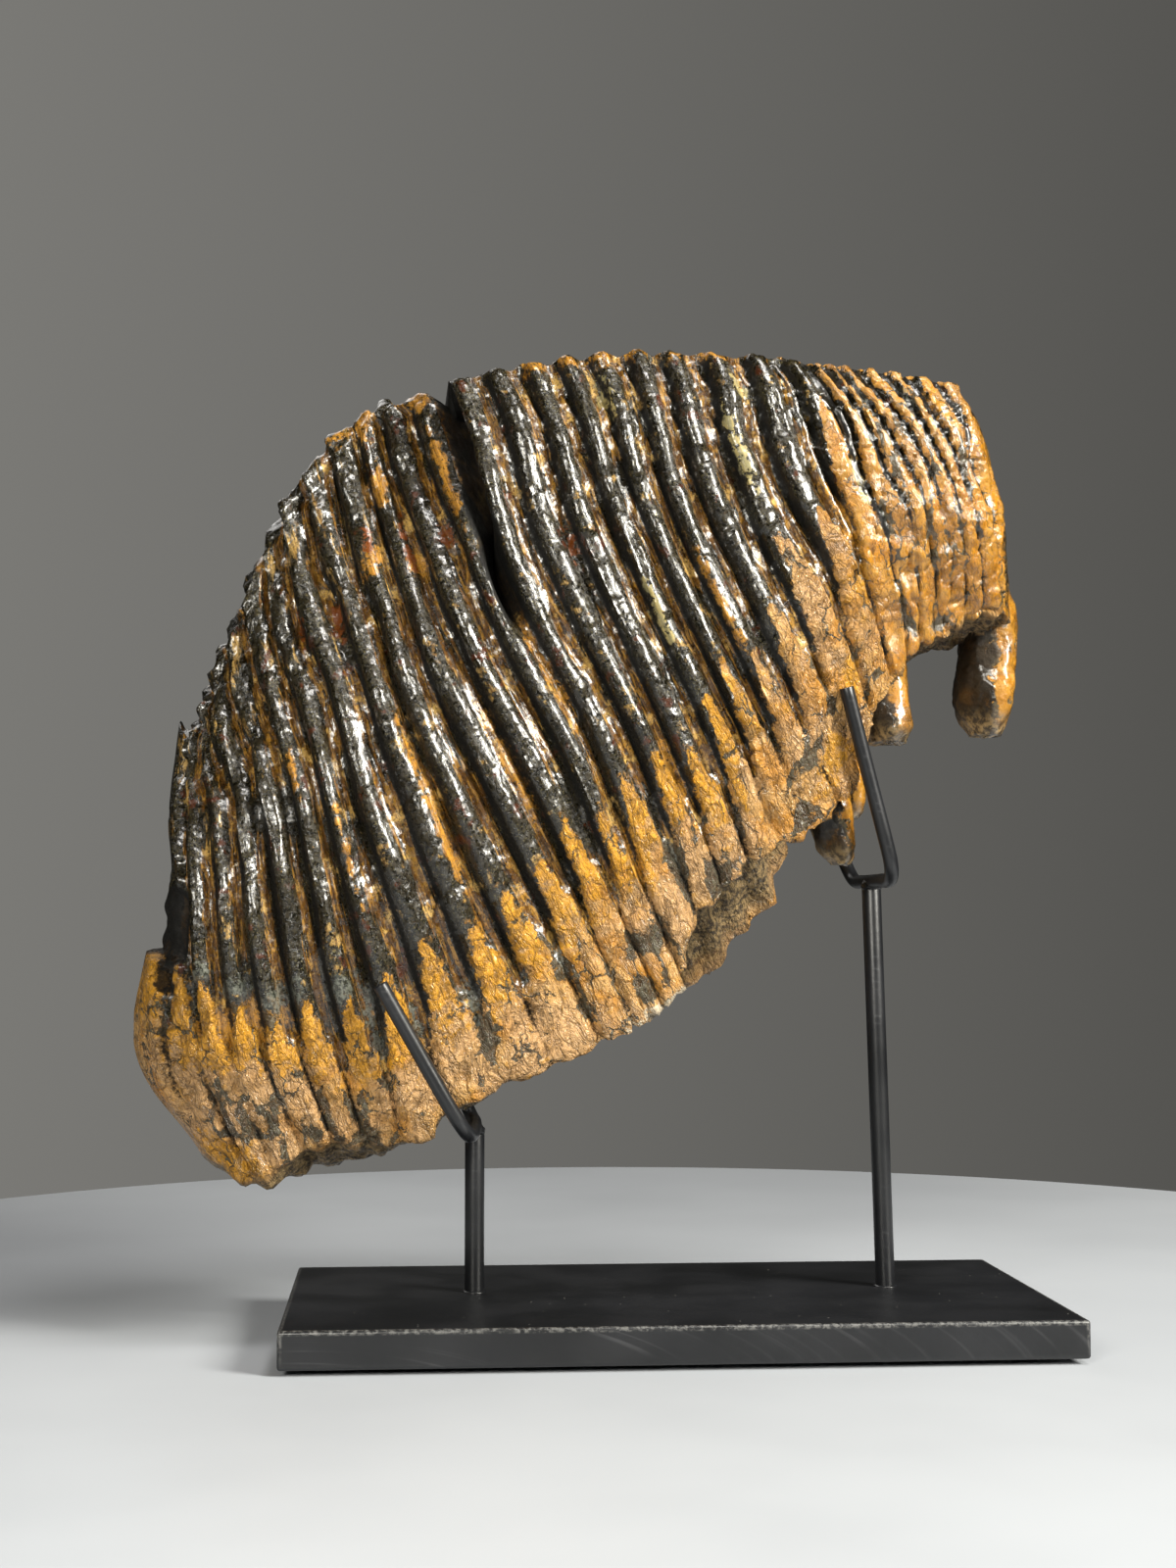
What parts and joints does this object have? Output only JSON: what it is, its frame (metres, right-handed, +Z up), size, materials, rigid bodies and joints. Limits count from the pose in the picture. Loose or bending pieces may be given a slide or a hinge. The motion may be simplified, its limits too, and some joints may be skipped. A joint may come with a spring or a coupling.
{
  "type": "fossil mammoth tooth on a display stand",
  "caption": "Ridged fossil mammoth molar with worn crown, orange root zone and broken roots, lying in two bent-rod cradles on slim posts above a flat rectangular black base.",
  "frame": {"origin": "centre of the bounding box in plan, on the surface that the feet stand on", "axes": "+X to the viewer's right along the base plate's long side, +Y to the back across the tooth, +Z up"},
  "size_m": [0.2534, 0.11, 0.2725],
  "materials": {
    "fossil": "polished dark enamel ridges, orange-brown cement and root",
    "black_steel": "satin black",
    "foot_rubber": "matt"
  },
  "bodies": {
    "root": {"tooth": "fossil", "base_plate": "black_steel", "post_left": "black_steel", "post_right": "black_steel", "cradle_left": "black_steel", "cradle_right": "black_steel", "foot_front_left": "foot_rubber", "foot_front_right": "foot_rubber", "foot_back_left": "foot_rubber", "foot_back_right": "foot_rubber"}
  },
  "joints": []
}
